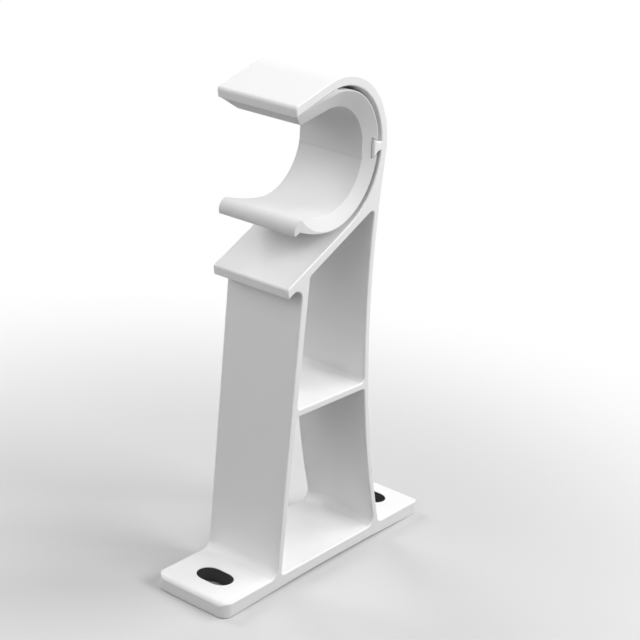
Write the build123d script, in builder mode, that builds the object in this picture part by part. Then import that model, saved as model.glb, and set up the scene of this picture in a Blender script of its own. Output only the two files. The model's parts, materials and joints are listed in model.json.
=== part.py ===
from build123d import *
from math import asin, cos, degrees, radians, sin, sqrt, tan
import os

# Curtain pole bracket: an aluminium extrusion cut to length, with a plastic liner
# held in its open hook. The pole lies along Y, the base stands on Z = 0 and is
# centred on X = 0 and Y = 0, and the mouth of the hook opens towards -X.

# Pole
pole_diameter = 28.0
pole_clearance = 0.4
pole_height = 123.5
pole_offset = -22.2

# Extrusion, cut to this length along the pole
cut_length = 25.0
cut_edge = 0.45

# Base plate
base_length = 98.0
base_thickness = 4.6
base_hollow = 0.9
base_bearing = 6.5
base_corner = 2.8
base_end_round = 1.8
base_end_crest = 1.7

# Slots for the screws, one in each tab, long across the base
slot_width = 7.8
slot_length = 11.2
slot_inset = 10.5

# Webs and crossbar
web_thickness = 2.2
front_foot = 26.3
front_lean = 2.6
back_flare = 280.0
back_straight = 4.0
crossbar_height = 53.5
crossbar_thickness = 2.2
foot_fillet = 2.6
window_fillet = 1.4
window_back_fillet = 2.5

# Hook, arm and seat
hook_wall = 2.8
liner_gap = 1.4
arm_angle = 20.0
arm_reach = 14.3
seat_angle = 28.5
seat_thickness = 2.9
seat_reach = 28.5
seat_face_angle = 15.0
seat_fillet = 2.8
seat_tip_round = 0.8
seat_under_round = 0.4
arm_tip_round = 1.0

# Dovetail rail inside the back of the hook, and its clearance in the liner
rail_angle = 7.0
rail_neck = 2.7
rail_face = 5.2
rail_lead = 1.3
rail_depth = 3.3
rail_clearance = 0.25

# Liner
liner_wall = 4.4
liner_setback = 0.1
liner_lift = 0.45
liner_shift = 0.3
lead_rim = 0.3
lead_depth = 2.2
liner_play = 0.05
pad_start = 93.0
pad_end = 102.0
flat_start = -2.4
flat_end = 17.4
flat_blend = 6.0
lip_angle = 14.0
lip_reach = 11.76
lip_setback = 0.3
toe_top_curve = 65.0
toe_top_reach = 13.0
toe_under_curve = 40.0
toe_under_reach = 12.6
toe_tip_reach = 15.0
toe_tip_drop = 0.95
toe_nose_reach = 14.9
toe_nose_drop = 1.0

# Sizes that follow from the ones above
bore_radius = pole_diameter / 2 + pole_clearance
liner_radius = bore_radius + liner_wall
hook_inner = liner_radius + liner_gap
hook_outer = hook_inner + hook_wall
hook_middle = (hook_inner + hook_outer) / 2
hook_sweep = 180 + arm_angle - seat_angle
back_face = pole_offset + hook_outer
flare_start = pole_height - back_straight
flare_centre = back_face + back_flare
base_middle = base_thickness / 2
base_end_drop = base_end_round - sqrt(base_end_round**2 - base_end_crest**2)
base_end_turn = asin(base_end_crest / base_end_round) / 2
base_end = base_length / 2
slot_place = base_end - slot_inset
pad_radius = hook_inner - liner_play
liner_length = cut_length - 2 * liner_setback
lead_radius = liner_radius - lead_rim
lead_slope = (lead_radius - bore_radius) / lead_depth
pole = (pole_offset, pole_height)
liner_centre = (pole_offset - liner_shift, pole_height + liner_lift)


def step(point, distance, angle):
    """Point in the profile at a distance from another, in a direction in degrees."""
    turn = radians(angle)
    return (point[0] + distance * cos(turn), point[1] + distance * sin(turn))


def base_end_bow(side):
    """Middle point of the round at the top of the base's left (-1) or right (1) end."""
    across = base_end - base_end_crest + base_end_round * sin(base_end_turn)
    return (side * across, base_thickness - base_end_round * (1 - cos(base_end_turn)))


def front_face(height):
    """Point on the outer face of the front web, which leans forward as it rises."""
    return (-front_foot - (height - base_thickness) * tan(radians(front_lean)), height)


def back_face_at(height):
    """Point on the outer face of the back web, which flares towards its foot."""
    drop = flare_start - height
    return (flare_centre - sqrt(back_flare**2 - drop**2), height)


def rail_point(radius, offset):
    """Point of the rail at a radius from the pole and an offset across the rail."""
    return step(step(pole, radius, rail_angle), offset, rail_angle + 90)


# Seat, from where it leaves the hook to its front edge
seat_start = step(pole, hook_inner, seat_angle - 90)
seat_start_under = step(pole, hook_inner + seat_thickness, seat_angle - 90)
seat_root = step(pole, hook_middle, seat_angle - 90)
seat_end = step(seat_start, seat_reach, seat_angle + 180)
seat_drop = seat_thickness / cos(radians(seat_angle - seat_face_angle))
seat_end_under = step(seat_end, seat_drop, seat_face_angle - 90)

# Arm, from where it leaves the hook to its tip
arm_start = step(pole, hook_inner, arm_angle + 90)
arm_start_top = step(pole, hook_outer, arm_angle + 90)
arm_end = step(arm_start, arm_reach, arm_angle + 180)
arm_end_top = step(arm_end, hook_wall, arm_angle + 90)

# Top of the front web, where its outer face meets the sloping underside of the seat
seat_slope = tan(radians(seat_angle))
lean_slope = tan(radians(front_lean))
under_at_foot = seat_start_under[1] - (seat_start_under[0] + front_foot) * seat_slope
web_rise = (under_at_foot - base_thickness) / (1 + lean_slope * seat_slope)
web_top = front_face(base_thickness + web_rise)
web_root = step(web_top, seat_thickness / 2, seat_angle + 90)

# Window corners, carried past the back web and trimmed by its inner face
window_foot = (front_face(base_thickness)[0] + web_thickness, base_thickness)
window_seat = step(web_top, web_thickness / cos(radians(seat_angle)), seat_angle)
window_apex = step(web_top, 2 * hook_outer, seat_angle)

# Profile of the extrusion: base plate, column still solid, hook, arm and seat
with BuildSketch(Plane.XZ) as profile:
    with BuildLine():
        Polyline(
            (-base_end + base_bearing, 0),
            (-base_end, 0),
            (-base_end, base_thickness - base_end_drop),
        )
        ThreePointArc(
            (-base_end, base_thickness - base_end_drop),
            base_end_bow(-1),
            (-base_end + base_end_crest, base_thickness),
        )
        Line((-base_end + base_end_crest, base_thickness), (base_end - base_end_crest, base_thickness))
        ThreePointArc(
            (base_end - base_end_crest, base_thickness),
            base_end_bow(1),
            (base_end, base_thickness - base_end_drop),
        )
        Polyline(
            (base_end, base_thickness - base_end_drop),
            (base_end, 0),
            (base_end - base_bearing, 0),
        )
        ThreePointArc(
            (base_end - base_bearing, 0),
            (0, base_hollow),
            (-base_end + base_bearing, 0),
        )
    make_face()
    with BuildLine():
        Line(front_face(base_middle), web_root)
        Line(web_root, seat_root)
        CenterArc(pole, hook_middle, seat_angle - 90, 90 - seat_angle)
        Line((pole_offset + hook_middle, pole_height), (back_face, pole_height))
        Line((back_face, pole_height), (back_face, flare_start))
        ThreePointArc(
            (back_face, flare_start),
            back_face_at(flare_start / 2),
            back_face_at(base_middle),
        )
        Line(back_face_at(base_middle), front_face(base_middle))
    make_face()
    with BuildLine():
        CenterArc(pole, hook_outer, seat_angle - 90, hook_sweep)
        Line(arm_start_top, arm_start)
        CenterArc(pole, hook_inner, seat_angle - 90, hook_sweep)
        Line(seat_start, step(pole, hook_outer, seat_angle - 90))
    make_face()
    with BuildLine():
        Polyline(arm_start, arm_end, arm_end_top, arm_start_top, close=True)
    make_face()
    with BuildLine():
        Polyline(seat_start, seat_end, seat_end_under, seat_start_under, close=True)
    make_face()
    foot_front = profile.vertices().sort_by_distance((*front_face(base_thickness), 0))[0]
    fillet(foot_front, foot_fillet)
    foot_back = profile.vertices().sort_by_distance((*back_face_at(base_thickness), 0))[0]
    fillet(foot_back, foot_fillet)
    web_corner = profile.vertices().sort_by_distance((*web_top, 0))[0]
    fillet(web_corner, seat_fillet)
    arm_tip = profile.vertices().sort_by_distance((*arm_end_top, 0))[0]
    fillet(arm_tip, arm_tip_round)
    seat_tip = profile.vertices().sort_by_distance((*seat_end, 0))[0]
    fillet(seat_tip, seat_tip_round)
    seat_tip_under = profile.vertices().sort_by_distance((*seat_end_under, 0))[0]
    fillet(seat_tip_under, seat_under_round)

# Windows above and below the crossbar
with BuildSketch(Plane.XZ) as windows:
    with BuildLine():
        Polyline(
            window_foot,
            window_seat,
            window_apex,
            (base_end, base_thickness),
            close=True,
        )
    make_face()
    with Locations((flare_centre, flare_start)):
        Circle(back_flare + web_thickness, mode=Mode.SUBTRACT)
    with Locations((0, crossbar_height + crossbar_thickness / 2)):
        Rectangle(base_length, crossbar_thickness, mode=Mode.SUBTRACT)
    lowest = windows.vertices().group_by(Axis.Y)[0]
    fillet(lowest.sort_by(Axis.X)[-1], window_back_fillet)
    round_corners = windows.vertices().filter_by(
        lambda corner: corner.Y > crossbar_height / 2 or corner.X < 0
    )
    fillet(round_corners, window_fillet)

# Dovetail rail
with BuildSketch(Plane.XZ) as rail:
    with BuildLine():
        Polyline(
            rail_point(hook_middle, rail_neck / 2),
            rail_point(hook_inner - rail_lead, rail_neck / 2),
            rail_point(hook_inner - rail_depth, rail_face / 2),
            rail_point(hook_inner - rail_depth, -rail_face / 2),
            rail_point(hook_inner - rail_lead, -rail_neck / 2),
            rail_point(hook_middle, -rail_neck / 2),
            close=True,
        )
    make_face()

# The metal bracket
with BuildPart() as bracket:
    extrude(profile.sketch, amount=cut_length / 2, both=True)
    extrude(windows.sketch, amount=cut_length / 2, both=True, mode=Mode.SUBTRACT)
    extrude(rail.sketch, amount=cut_length / 2, both=True)
    with BuildSketch(Plane.XY):
        with Locations((-slot_place, 0), (slot_place, 0)):
            SlotOverall(slot_length, slot_width, rotation=90)
    extrude(amount=base_thickness, mode=Mode.SUBTRACT)
    with BuildSketch(Plane.XY):
        RectangleRounded(base_length, cut_length, base_corner)
    extrude(amount=pole_height + hook_outer, mode=Mode.INTERSECT)
    cut_faces = bracket.faces().filter_by(Plane.XZ).sort_by(Axis.Y)
    cut_edges = (cut_faces[0].edges() + cut_faces[-1].edges()).filter_by(
        lambda edge: abs(edge.center().X) < base_end - base_corner - 0.01
    )
    fillet(cut_edges, cut_edge)

bracket.part.label = "bracket"

# Liner: a ring that opens towards -X, with a lip under the arm and a springy toe below,
# and a shallow cone that leads into the bore at each end
lip_start = step(pole, bore_radius, lip_angle + 90)
lip_corner = step(lip_start, lip_reach, lip_angle + 180)
lip_under = step(arm_start, liner_play, arm_angle - 90)
lip_front = step(lip_under, arm_reach - lip_setback, arm_angle + 180)
bore_low = (pole_offset, pole_height - bore_radius)
liner_low = (liner_centre[0], liner_centre[1] - liner_radius)
toe_top_centre = (bore_low[0], bore_low[1] + toe_top_curve)
toe_under_centre = (liner_low[0], liner_low[1] + toe_under_curve)
toe_top_turn = degrees(asin(toe_top_reach / toe_top_curve))
toe_under_turn = degrees(asin(toe_under_reach / toe_under_curve))
toe_top = step(toe_top_centre, toe_top_curve, -90 - toe_top_turn)
toe_under = step(toe_under_centre, toe_under_curve, -90 - toe_under_turn)
toe_tip = (pole_offset - toe_tip_reach, toe_under[1] - toe_tip_drop)
toe_nose = (pole_offset - toe_nose_reach, toe_top[1] - toe_nose_drop)

with BuildSketch(Plane.XZ) as ring:
    with BuildLine():
        Line(lip_front, lip_under)
        CenterArc(pole, pad_radius, arm_angle + 90, pad_end - arm_angle - 90)
        Line(step(pole, pad_radius, pad_end), step(liner_centre, liner_radius, pad_start))
        CenterArc(liner_centre, liner_radius, pad_start, -90 - pad_start)
        CenterArc(toe_under_centre, toe_under_curve, -90, -toe_under_turn)
        Line(toe_under, toe_tip)
        ThreePointArc(toe_tip, toe_nose, toe_top)
        CenterArc(toe_top_centre, toe_top_curve, -90 - toe_top_turn, toe_top_turn)
        CenterArc(pole, bore_radius, -90, 90 + flat_start)
        Line(step(pole, bore_radius, flat_start), step(pole, bore_radius, flat_end))
        CenterArc(pole, bore_radius, flat_end, 90 + lip_angle - flat_end)
        Line(lip_start, lip_corner)
        Line(lip_corner, lip_front)
    make_face()
    for turn in (flat_start, flat_end):
        flat_corner = ring.vertices().sort_by_distance((*step(pole, bore_radius, turn), 0))[0]
        fillet(flat_corner, flat_blend)

with BuildSketch(Plane.XZ) as pocket:
    add(rail.sketch)
    offset(amount=rail_clearance, kind=Kind.INTERSECTION)

with BuildPart() as liner:
    extrude(ring.sketch, amount=liner_length / 2, both=True)
    for side in (-1, 1):
        lead_start = (liner_centre[0], side * liner_length / 2, liner_centre[1])
        with Locations(Plane(lead_start, z_dir=(0, -side, 0))):
            Cone(
                bottom_radius=lead_radius,
                top_radius=lead_radius - 2 * lead_depth * lead_slope,
                height=2 * lead_depth,
                align=(Align.CENTER, Align.CENTER, Align.MIN),
                mode=Mode.SUBTRACT,
            )
    extrude(pocket.sketch, amount=cut_length, both=True, mode=Mode.SUBTRACT)

liner.part.label = "liner"

os.makedirs("parts", exist_ok=True)
export_step(bracket.part, "parts/bracket.step")
export_step(liner.part, "parts/liner.step")
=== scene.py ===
import json
from math import cos, pi, radians, sin, tan

import bpy
from mathutils import Matrix, Vector

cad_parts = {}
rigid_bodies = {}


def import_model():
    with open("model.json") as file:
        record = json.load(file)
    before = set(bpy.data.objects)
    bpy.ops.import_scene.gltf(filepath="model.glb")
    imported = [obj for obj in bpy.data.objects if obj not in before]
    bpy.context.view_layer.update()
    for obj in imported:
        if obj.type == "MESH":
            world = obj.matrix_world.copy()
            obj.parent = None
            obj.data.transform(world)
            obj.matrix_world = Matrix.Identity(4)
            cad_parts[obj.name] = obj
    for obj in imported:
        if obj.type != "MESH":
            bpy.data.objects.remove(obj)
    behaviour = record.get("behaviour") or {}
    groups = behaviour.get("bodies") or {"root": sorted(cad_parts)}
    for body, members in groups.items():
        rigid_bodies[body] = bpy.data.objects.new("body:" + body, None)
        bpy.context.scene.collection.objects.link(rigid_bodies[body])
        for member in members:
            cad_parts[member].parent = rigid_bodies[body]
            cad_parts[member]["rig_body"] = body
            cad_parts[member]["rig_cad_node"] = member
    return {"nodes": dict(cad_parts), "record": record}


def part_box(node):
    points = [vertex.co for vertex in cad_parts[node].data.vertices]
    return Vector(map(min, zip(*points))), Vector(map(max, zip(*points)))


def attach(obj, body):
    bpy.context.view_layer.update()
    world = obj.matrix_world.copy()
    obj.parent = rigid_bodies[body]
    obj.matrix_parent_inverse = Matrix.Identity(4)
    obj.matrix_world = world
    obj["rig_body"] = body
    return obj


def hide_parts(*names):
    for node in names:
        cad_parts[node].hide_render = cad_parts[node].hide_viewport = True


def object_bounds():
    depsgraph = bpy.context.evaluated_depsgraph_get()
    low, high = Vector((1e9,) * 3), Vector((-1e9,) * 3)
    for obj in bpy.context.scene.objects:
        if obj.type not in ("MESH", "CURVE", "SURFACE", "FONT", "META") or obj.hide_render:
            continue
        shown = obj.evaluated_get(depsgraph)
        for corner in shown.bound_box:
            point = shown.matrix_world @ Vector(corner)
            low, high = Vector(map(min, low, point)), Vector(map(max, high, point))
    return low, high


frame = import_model()
solid_low, solid_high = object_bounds()
mounts = {mount["name"]: mount for mount in frame["record"]["mounts"]}

bl_info = {
    "name": "Curtain Pole Bracket",
    "version": (1, 0, 0),
    "blender": (4, 5, 0),
    "location": "3D View > Sidebar > Pole Bracket",
    "description": "Finishes a powder-coated curtain pole bracket and its plastic liner",
    "category": "Object",
}

# Widths of the patterns in the coat and the plastic, in metres
DRAW_WIDTH = 0.0016
CLOUD_WIDTH = 0.014
FLOW_WIDTH = 0.009

# How far the draw lines are stretched along the extrusion, and how high they stand in the peel
DRAW_STRETCH = 0.04
DRAW_HEIGHT = 0.22

# How far past its own wall a slot's painted shade reaches, and how far it stays below the top,
# in metres
SLOT_MARGIN = 0.0002

# How much painted shade darkens the fine fold in the bore
FOLD_SHADE = 0.06

# Corners nearer than this are joined, in metres
WELD = 0.000001

# Angles between faces, in degrees: treated as flat, rounded off, shaded sharp
FLAT_ANGLE = 0.3
ROUND_ANGLE = 32
SHARP_ANGLE = 38

# Box that cuts the lip's end, in metres: length along the lip, width down the slant, height
# off it, how far it starts above the rim, and how far it clears the cone where the two meet
CUT_LENGTH = 0.02
CUT_WIDTH = 0.009
CUT_HEIGHT = 0.004
CUT_ABOVE = 0.001
CUT_CLEAR = 0.00002

# How closely a face follows a lead-in cone to count as part of it, as a cosine
CONE_MATCH = 0.9998

# Distance from the bracket over which the floor turns into the white background, in metres
FLOOR_NEAR = 0.06
FLOOR_FAR = 0.24

# Each lamp's name, its turn from -Y towards +X and its rise, in degrees
LAMPS = (
    ("front", 12, 35),
    ("right", 58, 37),
    ("high", 120, 60),
    ("back", 180, 35),
    ("corner", 240, 35),
    ("left", 270, 22),
    ("near", 310, 45),
)

WHITE = (1.0, 1.0, 1.0, 1.0)


# Settings


class CoatSettings(bpy.types.PropertyGroup):
    """Powder coat on the aluminium bracket"""

    colour: bpy.props.FloatVectorProperty(
        name="Colour",
        description="Colour of the powder coat",
        subtype="COLOR",
        size=3,
        min=0.0,
        max=1.0,
        default=(0.88, 0.88, 0.88),
    )
    roughness: bpy.props.FloatProperty(
        name="Roughness",
        description="How matt the coat is, from 0, a mirror, to 1, chalk",
        subtype="FACTOR",
        min=0.0,
        max=1.0,
        default=0.42,
    )
    peel_size: bpy.props.FloatProperty(
        name="Peel size",
        description="Width of one ripple of the coat's orange peel",
        unit="LENGTH",
        min=0.0002,
        max=0.01,
        default=0.0011,
    )
    peel_height: bpy.props.FloatProperty(
        name="Peel height",
        description="Height of the orange peel",
        unit="LENGTH",
        min=0.0,
        max=0.001,
        default=0.00002,
    )
    # Painted shade: the slot walls are darkened to stand in for the shade down the screw slots,
    # not for bare metal
    slot_shade: bpy.props.FloatProperty(
        name="Slot walls",
        description="How much of the coat's colour is left on the walls of the screw slots",
        subtype="FACTOR",
        min=0.0,
        max=1.0,
        default=0.05,
    )
    edge: bpy.props.FloatProperty(
        name="Edge",
        description="Width of the soft edge that the coat leaves on sharp corners",
        unit="LENGTH",
        min=0.0,
        max=0.001,
        default=0.00012,
    )


class PlasticSettings(bpy.types.PropertyGroup):
    """Moulded plastic of the liner"""

    colour: bpy.props.FloatVectorProperty(
        name="Colour",
        description="Colour of the plastic",
        subtype="COLOR",
        size=3,
        min=0.0,
        max=1.0,
        default=(0.76, 0.76, 0.76),
    )
    roughness: bpy.props.FloatProperty(
        name="Roughness",
        description="How matt the plastic is, from 0, a mirror, to 1, chalk",
        subtype="FACTOR",
        min=0.0,
        max=1.0,
        default=0.48,
    )
    grain_size: bpy.props.FloatProperty(
        name="Grain size",
        description="Width of the fine grain left by the mould",
        unit="LENGTH",
        min=0.0001,
        max=0.01,
        default=0.0005,
    )
    grain_height: bpy.props.FloatProperty(
        name="Grain height",
        description="Height of the grain",
        unit="LENGTH",
        min=0.0,
        max=0.001,
        default=0.000008,
    )
    # The fold is darkened with painted shade in satin_plastic; these settings place that band
    # and set its width
    fold_angle: bpy.props.FloatProperty(
        name="Fold",
        description="Where the fine fold runs along the bore, as an angle round the pole",
        subtype="ANGLE",
        unit="ROTATION",
        default=radians(-3.2),
    )
    fold_width: bpy.props.FloatProperty(
        name="Fold width",
        description="Width of the fine fold in the bore",
        unit="LENGTH",
        min=0.0001,
        default=0.0013,
    )
    lead_radius: bpy.props.FloatProperty(
        name="Lead radius",
        description="Radius of the lead-in cones where they meet the liner's ends",
        unit="LENGTH",
        min=0.01,
        default=0.0185,
    )
    lead_slope: bpy.props.FloatProperty(
        name="Lead slope",
        description="How fast the lead-in cones narrow for each metre into the bore",
        min=0.1,
        default=1.8636,
    )
    lead_shift: bpy.props.FloatVectorProperty(
        name="Lead shift",
        description="Centre of the liner's outside, measured from the pole's",
        subtype="TRANSLATION",
        unit="LENGTH",
        size=3,
        default=(-0.0003, 0.0, 0.00045),
    )
    lip_turn: bpy.props.FloatProperty(
        name="Lip turn",
        description="Direction in which the lip runs from the ring, turned from +X to +Z",
        subtype="ANGLE",
        unit="ROTATION",
        default=radians(194),
    )
    edge: bpy.props.FloatProperty(
        name="Edge",
        description="Width of the soft edge on the liner's corners",
        unit="LENGTH",
        min=0.0,
        max=0.001,
        default=0.0001,
    )


class StudioSettings(bpy.types.PropertyGroup):
    """Floor, lamps and camera"""

    floor_colour: bpy.props.FloatVectorProperty(
        name="Floor",
        description="Colour of the floor",
        subtype="COLOR",
        size=3,
        min=0.0,
        max=1.0,
        default=(0.66, 0.66, 0.66),
    )
    floor_size: bpy.props.FloatProperty(
        name="Floor size",
        description="Width of the floor",
        unit="LENGTH",
        min=0.5,
        default=8.0,
    )
    floor_bounce: bpy.props.FloatVectorProperty(
        name="Floor bounce",
        description="Colour of the floor where it throws light back on the bracket",
        subtype="COLOR",
        size=3,
        min=0.0,
        max=1.0,
        default=(0.2, 0.2, 0.2),
    )
    front_level: bpy.props.FloatProperty(
        name="Front lamp",
        description="Light from the lamp nearly square to the near cut end",
        min=0.0,
        default=0.59,
    )
    right_level: bpy.props.FloatProperty(
        name="Right lamp",
        description="Light from the lamp on the right",
        min=0.0,
        default=0.55,
    )
    high_level: bpy.props.FloatProperty(
        name="High lamp",
        description="Light from the high lamp behind the hook",
        min=0.0,
        default=0.1,
    )
    back_level: bpy.props.FloatProperty(
        name="Back lamp",
        description="Light from the lamp that faces the far cut end",
        min=0.0,
        default=0.38,
    )
    corner_level: bpy.props.FloatProperty(
        name="Corner lamp",
        description="Light from the lamp behind, on the left",
        min=0.0,
        default=0.17,
    )
    left_level: bpy.props.FloatProperty(
        name="Left lamp",
        description="Light from the lamp that faces the mouth of the hook",
        min=0.0,
        default=0.26,
    )
    near_level: bpy.props.FloatProperty(
        name="Near lamp",
        description="Light from the weak lamp between the front and the left ones",
        min=0.0,
        default=0.11,
    )
    lamp_distance: bpy.props.FloatProperty(
        name="Lamp distance",
        description="How far the lamps stand from the middle of the bracket",
        unit="LENGTH",
        min=0.3,
        default=0.8,
    )
    lamp_width: bpy.props.FloatProperty(
        name="Lamp width",
        description="Width of each square lamp, where a wider one gives softer shadows",
        unit="LENGTH",
        min=0.01,
        default=0.42,
    )
    lens: bpy.props.FloatProperty(
        name="Lens",
        description="Focal length of the camera, in millimetres",
        min=1.0,
        default=86.22,
    )
    camera_place: bpy.props.FloatVectorProperty(
        name="Camera",
        description="Where the camera stands",
        subtype="TRANSLATION",
        unit="LENGTH",
        size=3,
        default=(-0.3434, -0.2243, 0.21445),
    )
    camera_turn: bpy.props.FloatVectorProperty(
        name="Camera turn",
        description="How the camera is turned",
        subtype="EULER",
        unit="ROTATION",
        size=3,
        default=(radians(70.710), radians(-6.826), radians(-54.298)),
    )


# Materials


class Level:
    """A number that changes over a surface, which ordinary arithmetic works on."""

    def __init__(self, tree, socket):
        self.tree = tree
        self.socket = socket

    def work(self, operation, first, second):
        node = self.tree.nodes.new("ShaderNodeMath")
        node.operation = operation
        for place, value in zip(node.inputs, (first, second)):
            if isinstance(value, Level):
                self.tree.links.new(value.socket, place)
            else:
                place.default_value = value
        return Level(self.tree, node.outputs[0])

    def __add__(self, other):
        return self.work("ADD", self, other)

    def __radd__(self, other):
        return self.work("ADD", other, self)

    def __sub__(self, other):
        return self.work("SUBTRACT", self, other)

    def __rsub__(self, other):
        return self.work("SUBTRACT", other, self)

    def __mul__(self, other):
        return self.work("MULTIPLY", self, other)

    def __rmul__(self, other):
        return self.work("MULTIPLY", other, self)


def size_of(level):
    """The level without its sign."""
    return level.work("ABSOLUTE", level, 0.0)


def below(level, limit):
    """1 where the level is below the limit, else 0."""
    return level.work("LESS_THAN", level, limit)


class Finish:
    """A material built node by node."""

    def __init__(self, tree):
        self.tree = tree
        tree.nodes.clear()

    def add(self, kind, settings=None, sockets=None, output=0):
        """Adds a node, sets it up, fills its sockets and gives one of its outputs."""
        node = self.tree.nodes.new(kind)
        for name, value in (settings or {}).items():
            setattr(node, name, value)
        for name, value in (sockets or {}).items():
            place = node.inputs[name]
            if isinstance(value, Level):
                self.tree.links.new(value.socket, place)
            else:
                place.default_value = value
        return Level(self.tree, node.outputs[output]) if node.outputs else node

    def noise(self, place, size, detail=2.0, roughness=0.5):
        """Soft random pattern whose features are about size metres wide."""
        return self.add(
            "ShaderNodeTexNoise",
            {},
            {"Vector": place, "Scale": 1 / size, "Detail": detail, "Roughness": roughness},
        )


def place_on(finish):
    """The point on the piece, and its three coordinates."""
    place = finish.add("ShaderNodeTexCoord", output=3)
    parts = [finish.add("ShaderNodeSeparateXYZ", {}, {0: place}, output=i) for i in range(3)]
    return place, parts


def new_material(name):
    """An empty material, and the finish that fills it."""
    material = bpy.data.materials.new(name)
    material.use_nodes = True
    return material, Finish(material.node_tree)


def tinted(finish, colour, tone):
    """The colour made darker or lighter by a tone near 1."""
    return finish.add(
        "ShaderNodeMix",
        {"data_type": "RGBA", "blend_type": "MULTIPLY"},
        {0: 1.0, 6: (*colour, 1.0), 7: tone},
        output=2,
    )


def slot_shade_mask(parts):
    """1 on the walls of the two screw slots, where painted shade goes, else 0."""
    dims = mounts["base_slots"]["dims"]
    spacing, radius, length = (
        dims[name] / 1000 for name in ("spacing_x_mm", "hole_r_mm", "slot_length_mm")
    )
    across, along, height = parts
    sideways = size_of(size_of(across) - spacing / 2)
    beyond = size_of(along) - (length / 2 - radius)
    beyond = beyond.work("MAXIMUM", beyond, 0.0)
    reach = sideways * sideways + beyond * beyond
    top = mounts["base_slots"]["pos_m"][2]
    return below(reach, (radius + SLOT_MARGIN) ** 2) * below(height, top - SLOT_MARGIN)


def powder_coat(settings):
    """White powder coat: fine orange peel over faint draw lines, and painted shade on the walls
    of the slots.
    """
    material, finish = new_material("powder_coat")
    place, parts = place_on(finish)
    along = finish.add(
        "ShaderNodeMapping",
        {},
        {"Vector": place, "Scale": (1.0, DRAW_STRETCH, 1.0)},
    )
    peel = finish.noise(place, settings.peel_size, roughness=0.45)
    drawn = finish.noise(along, DRAW_WIDTH, 3.0, 0.6)
    cloud = finish.noise(place, CLOUD_WIDTH)
    height = peel + drawn * DRAW_HEIGHT
    bump = finish.add(
        "ShaderNodeBump",
        {},
        {"Strength": 1.0, "Distance": settings.peel_height, "Height": height},
    )
    tone = 0.985 + cloud * 0.02 + peel * 0.01
    # Painted shade on the walls of the screw slots
    tone = tone * (1 - slot_shade_mask(parts) * (1 - settings.slot_shade))
    base = tinted(finish, settings.colour, tone)
    roughness = settings.roughness - 0.03 + cloud * 0.04 + peel * 0.02
    shader = finish.add(
        "ShaderNodeBsdfPrincipled",
        {},
        {"Base Color": base, "Roughness": roughness, "Normal": bump, "IOR": 1.5},
    )
    finish.add("ShaderNodeOutputMaterial", {}, {"Surface": shader})
    return material


def satin_plastic(settings):
    """White moulded plastic with a fine grain, and painted shade along the fold in the bore."""
    material, finish = new_material("liner_plastic")
    place, parts = place_on(finish)
    grain = finish.noise(place, settings.grain_size)
    flow = finish.noise(place, FLOW_WIDTH)
    bump = finish.add(
        "ShaderNodeBump",
        {},
        {"Strength": 1.0, "Distance": settings.grain_height, "Height": grain + flow * 3.0},
    )
    seat = mounts["pole_seat"]
    radius = seat["dims"]["r_mm"] / 1000
    across = parts[0] - (seat["pos_m"][0] + radius * cos(settings.fold_angle))
    height = parts[2] - (seat["pos_m"][2] + radius * sin(settings.fold_angle))
    fold = finish.add(
        "ShaderNodeMapRange",
        {"interpolation_type": "SMOOTHSTEP"},
        {
            "Value": across * across + height * height,
            "From Max": (settings.fold_width / 2) ** 2,
            "To Min": 1.0,
            "To Max": 0.0,
        },
    )
    # Painted shade: the band along the fold is darkened
    tone = (0.98 + flow * 0.03 + grain * 0.01) * (1 - fold * FOLD_SHADE)
    base = tinted(finish, settings.colour, tone)
    roughness = settings.roughness - 0.03 + flow * 0.05 + grain * 0.02
    shader = finish.add(
        "ShaderNodeBsdfPrincipled",
        {},
        {"Base Color": base, "Roughness": roughness, "Normal": bump, "IOR": 1.48},
    )
    finish.add("ShaderNodeOutputMaterial", {}, {"Surface": shader})
    return material


# Pieces


def only(piece):
    """Makes one piece the only one selected, and the active one."""
    bpy.ops.object.select_all(action="DESELECT")
    piece.select_set(True)
    bpy.context.view_layer.objects.active = piece


def joined_copy(node, name):
    """A copy of a solid with its loose triangles joined and its flat faces made whole."""
    source = frame["nodes"][node]
    only(source)
    bpy.ops.object.duplicate()
    piece = bpy.context.active_object
    piece.name = name
    piece.data.name = name
    piece.parent = None
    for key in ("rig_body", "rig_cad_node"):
        if key in piece:
            del piece[key]
    bpy.ops.object.mode_set(mode="EDIT")
    bpy.ops.mesh.select_all(action="SELECT")
    bpy.ops.mesh.remove_doubles(threshold=WELD)
    bpy.ops.mesh.customdata_custom_splitnormals_clear()
    bpy.ops.mesh.dissolve_limited(angle_limit=radians(FLAT_ANGLE))
    bpy.ops.object.mode_set(mode="OBJECT")
    return piece


def soften(piece, width):
    """Rounds the corners that the solid leaves sharp, and shades the rest smooth."""
    only(piece)
    bevel = piece.modifiers.new("soft edge", "BEVEL")
    bevel.width = width
    bevel.segments = 2
    bevel.limit_method = "ANGLE"
    bevel.angle_limit = radians(ROUND_ANGLE)
    bevel.use_clamp_overlap = True
    bpy.ops.object.modifier_apply(modifier=bevel.name)
    bpy.ops.object.shade_smooth_by_angle(angle=radians(SHARP_ANGLE))
    weights = piece.modifiers.new("even shading", "WEIGHTED_NORMAL")
    weights.keep_sharp = True
    weights.weight = 100
    bpy.ops.object.modifier_apply(modifier=weights.name)


def cut_away(piece, cutter):
    """Cuts the cutter's shape out of the piece and deletes the cutter."""
    only(piece)
    cut = piece.modifiers.new("cut", "BOOLEAN")
    cut.operation = "DIFFERENCE"
    cut.solver = "EXACT"
    cut.object = cutter
    bpy.ops.object.modifier_apply(modifier=cut.name)
    bpy.data.objects.remove(cutter)


def liner_middle(settings):
    """Centre of the liner's outside, which stands a little off the pole's."""
    return Vector(mounts["pole_seat"]["pos_m"]) + Vector(settings.lead_shift)


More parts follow.
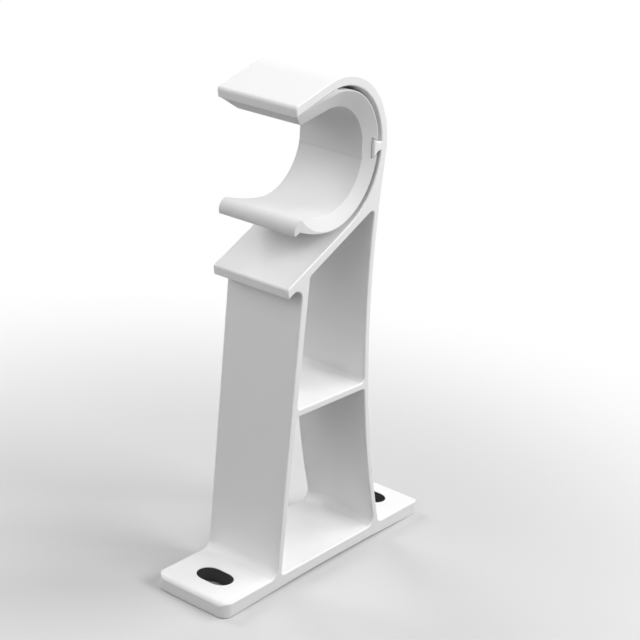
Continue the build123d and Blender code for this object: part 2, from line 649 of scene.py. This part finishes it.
def lead_in(piece, settings, side):
    """Runs the lead-in cone of one end straight on along the lip, with a slanted cut."""
    turn = settings.lip_turn
    along = Vector((cos(turn), 0, sin(turn)))
    up = Vector((sin(turn), 0, -cos(turn)))
    down = (-settings.lead_slope * up - side * Vector((0, 1, 0))).normalized()
    out = down.cross(along) * side
    start = liner_middle(settings) + settings.lead_radius * up
    start.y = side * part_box("liner")[1][1]
    middle = start + along * CUT_LENGTH / 2
    middle += down * (CUT_WIDTH / 2 - CUT_ABOVE) + out * (CUT_HEIGHT / 2 + CUT_CLEAR)
    bpy.ops.object.select_all(action="DESELECT")
    bpy.ops.mesh.primitive_cube_add(
        size=1,
        location=middle,
        rotation=Matrix((along, down, along.cross(down))).transposed().to_euler(),
        scale=(CUT_LENGTH, CUT_WIDTH, CUT_HEIGHT),
    )
    cut_away(piece, bpy.context.active_object)


def even_cones(piece, settings):
    """Turns the shading of the two lead-in cones straight, whatever faces they have."""
    mesh = piece.data
    normals = [corner.vector.copy() for corner in mesh.corner_normals]
    centre = liner_middle(settings)
    across = 1 / (1 + settings.lead_slope**2) ** 0.5
    along = across * settings.lead_slope
    for face in mesh.polygons:
        inward = centre - face.center
        inward.y = 0
        straight = inward.normalized() * across
        straight.y = along if face.normal.y > 0 else -along
        if face.normal.dot(straight) < CONE_MATCH:
            continue
        for corner in face.loop_indices:
            inward = centre - mesh.vertices[mesh.loops[corner].vertex_index].co
            inward.y = 0
            normals[corner] = inward.normalized() * across
            normals[corner].y = straight.y
    mesh.normals_split_custom_set(normals)


def finished(piece, material, node):
    """Gives a piece its material and its place in the frame."""
    piece.data.materials.clear()
    piece.data.materials.append(material)
    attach(piece, "root")
    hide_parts(node)


class POLE_BRACKET_OT_bracket(bpy.types.Operator):
    """Makes the powder-coated aluminium bracket"""

    bl_idname = "pole_bracket.bracket"
    bl_label = "Bracket"
    bl_options = {"REGISTER", "UNDO"}

    def execute(self, context):
        settings = context.scene.pole_bracket_coat
        piece = joined_copy("bracket", "bracket_coated")
        soften(piece, settings.edge)
        finished(piece, powder_coat(settings), "bracket")
        return {"FINISHED"}


class POLE_BRACKET_OT_liner(bpy.types.Operator):
    """Makes the plastic liner in the hook"""

    bl_idname = "pole_bracket.liner"
    bl_label = "Liner"
    bl_options = {"REGISTER", "UNDO"}

    def execute(self, context):
        settings = context.scene.pole_bracket_plastic
        piece = joined_copy("liner", "liner_moulded")
        for side in (-1, 1):
            lead_in(piece, settings, side)
        soften(piece, settings.edge)
        even_cones(piece, settings)
        finished(piece, satin_plastic(settings), "liner")
        return {"FINISHED"}


# Stage


def seen_directly(finish):
    """1 where the camera, a reflection or clear material sees the surface, else 0."""
    light = finish.tree.nodes.new("ShaderNodeLightPath")
    camera, glossy, clear = [
        Level(finish.tree, light.outputs[name])
        for name in ("Is Camera Ray", "Is Glossy Ray", "Is Transmission Ray")
    ]
    return camera.work("MAXIMUM", camera.work("MAXIMUM", camera, glossy), clear)


def lamp(name, settings, turn, rise, level):
    """A soft lamp aimed at the bracket, turned from -Y towards +X and raised, in degrees."""
    target = Vector((0, 0, solid_high.z / 2))
    away = Vector((sin(radians(turn)), -cos(radians(turn)), tan(radians(rise))))
    reach = settings.lamp_distance * away.normalized()
    bpy.ops.object.select_all(action="DESELECT")
    bpy.ops.object.light_add(type="AREA", location=target + reach)
    light = bpy.context.active_object
    light.name = name
    light.data.shape = "SQUARE"
    light.data.size = settings.lamp_width
    light.data.energy = level * pi**2 * reach.length_squared
    light.rotation_euler = reach.to_track_quat("Z", "Y").to_euler()


class POLE_BRACKET_OT_studio(bpy.types.Operator):
    """Makes the floor, the lamps and the camera"""

    bl_idname = "pole_bracket.studio"
    bl_label = "Floor, lamps and camera"
    bl_options = {"REGISTER", "UNDO"}

    def execute(self, context):
        settings = context.scene.pole_bracket_studio
        scene = context.scene
        bpy.ops.object.select_all(action="DESELECT")
        bpy.ops.mesh.primitive_circle_add(
            vertices=96,
            radius=settings.floor_size / 2,
            fill_type="NGON",
            location=(0, 0, solid_low.z),
        )
        floor = context.active_object
        floor.name = "floor"
        bpy.ops.object.transform_apply(location=True, rotation=True, scale=True)
        material, finish = new_material("floor")
        seen = seen_directly(finish)
        place = finish.add("ShaderNodeTexCoord", output=3)
        far = finish.add("ShaderNodeVectorMath", {"operation": "LENGTH"}, {0: place}, output=1)
        outer = finish.add(
            "ShaderNodeMapRange",
            {"interpolation_type": "SMOOTHSTEP"},
            {"Value": far, "From Min": FLOOR_NEAR, "From Max": FLOOR_FAR},
        )
        white = finish.add("ShaderNodeEmission", {}, {"Color": WHITE, "Strength": 1.0})
        shade = finish.add(
            "ShaderNodeMix",
            {"data_type": "RGBA"},
            {
                0: seen,
                6: (*settings.floor_bounce, 1.0),
                7: (*settings.floor_colour, 1.0),
            },
            output=2,
        )
        paper = finish.add("ShaderNodeBsdfDiffuse", {}, {"Color": shade})
        surface = finish.add(
            "ShaderNodeMixShader",
            {},
            {0: outer * seen, 1: paper, 2: white},
        )
        finish.add("ShaderNodeOutputMaterial", {}, {"Surface": surface})
        floor.data.materials.append(material)

        world = bpy.data.worlds.new("room")
        scene.world = world
        world.use_nodes = True
        finish = Finish(world.node_tree)
        room = finish.add(
            "ShaderNodeBackground",
            {},
            {"Color": WHITE, "Strength": seen_directly(finish)},
        )
        finish.add("ShaderNodeOutputWorld", {}, {"Surface": room})

        for name, turn, rise in LAMPS:
            level = getattr(settings, f"{name}_level")
            lamp(f"{name} lamp", settings, turn, rise, level)

        bpy.ops.object.camera_add(
            location=settings.camera_place,
            rotation=settings.camera_turn,
        )
        camera = context.active_object
        camera.data.lens = settings.lens
        camera.data.sensor_width = 36.0
        camera.data.clip_start = 0.01
        camera.data.clip_end = 50.0
        scene.camera = camera
        scene.view_settings.view_transform = "Standard"
        return {"FINISHED"}


# Sidebar


class POLE_BRACKET_PT_sidebar(bpy.types.Panel):
    """Lists the pieces with their settings"""

    bl_idname = "POLE_BRACKET_PT_sidebar"
    bl_label = "Pole Bracket"
    bl_space_type = "VIEW_3D"
    bl_region_type = "UI"
    bl_category = "Pole Bracket"

    def draw(self, context):
        layout = self.layout
        for operator, group in STEPS:
            box = layout.box()
            settings = getattr(context.scene, group)
            for name in settings.__annotations__:
                box.prop(settings, name)
            box.operator(operator)


STEPS = (
    ("pole_bracket.bracket", "pole_bracket_coat"),
    ("pole_bracket.liner", "pole_bracket_plastic"),
    ("pole_bracket.studio", "pole_bracket_studio"),
)
GROUPS = (
    ("pole_bracket_coat", CoatSettings),
    ("pole_bracket_plastic", PlasticSettings),
    ("pole_bracket_studio", StudioSettings),
)
CLASSES = (
    CoatSettings,
    PlasticSettings,
    StudioSettings,
    POLE_BRACKET_OT_bracket,
    POLE_BRACKET_OT_liner,
    POLE_BRACKET_OT_studio,
    POLE_BRACKET_PT_sidebar,
)


def register():
    for item in CLASSES:
        bpy.utils.register_class(item)
    for name, group in GROUPS:
        setattr(bpy.types.Scene, name, bpy.props.PointerProperty(type=group))


def unregister():
    for name, group in reversed(GROUPS):
        delattr(bpy.types.Scene, name)
    for item in reversed(CLASSES):
        bpy.utils.unregister_class(item)


def main():
    register()
    bpy.ops.pole_bracket.bracket()
    bpy.ops.pole_bracket.liner()
    bpy.ops.pole_bracket.studio()


if __name__ == "__main__":
    main()
